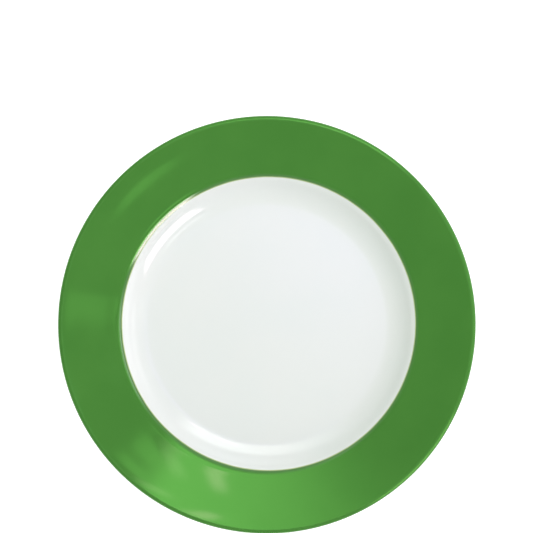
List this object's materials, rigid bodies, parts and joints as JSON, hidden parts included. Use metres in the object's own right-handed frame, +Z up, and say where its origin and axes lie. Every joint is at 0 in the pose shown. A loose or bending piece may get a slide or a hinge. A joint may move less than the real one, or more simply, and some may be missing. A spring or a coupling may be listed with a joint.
{
  "type": "dinner plate",
  "caption": "Round porcelain dinner plate with a flat floor, a coved well, a broad rising rim in coloured glaze, a rounded lip and a foot ring underneath.",
  "frame": {"origin": "on the plate's axis, in the plane that the foot ring stands on", "axes": "+Z up along the plate's axis of revolution; +X and +Y are any two directions at right angles across it"},
  "size_m": [0.26, 0.26, 0.024],
  "materials": {
    "bisque_porcelain": "matte",
    "clear_glaze": "gloss",
    "green_glaze": "gloss"
  },
  "bodies": {
    "root": {"porcelain_body": "bisque_porcelain", "well_glaze": "clear_glaze", "rim_colour_glaze": "green_glaze", "underside_glaze": "clear_glaze", "foot_recess_glaze": "clear_glaze"}
  },
  "joints": []
}
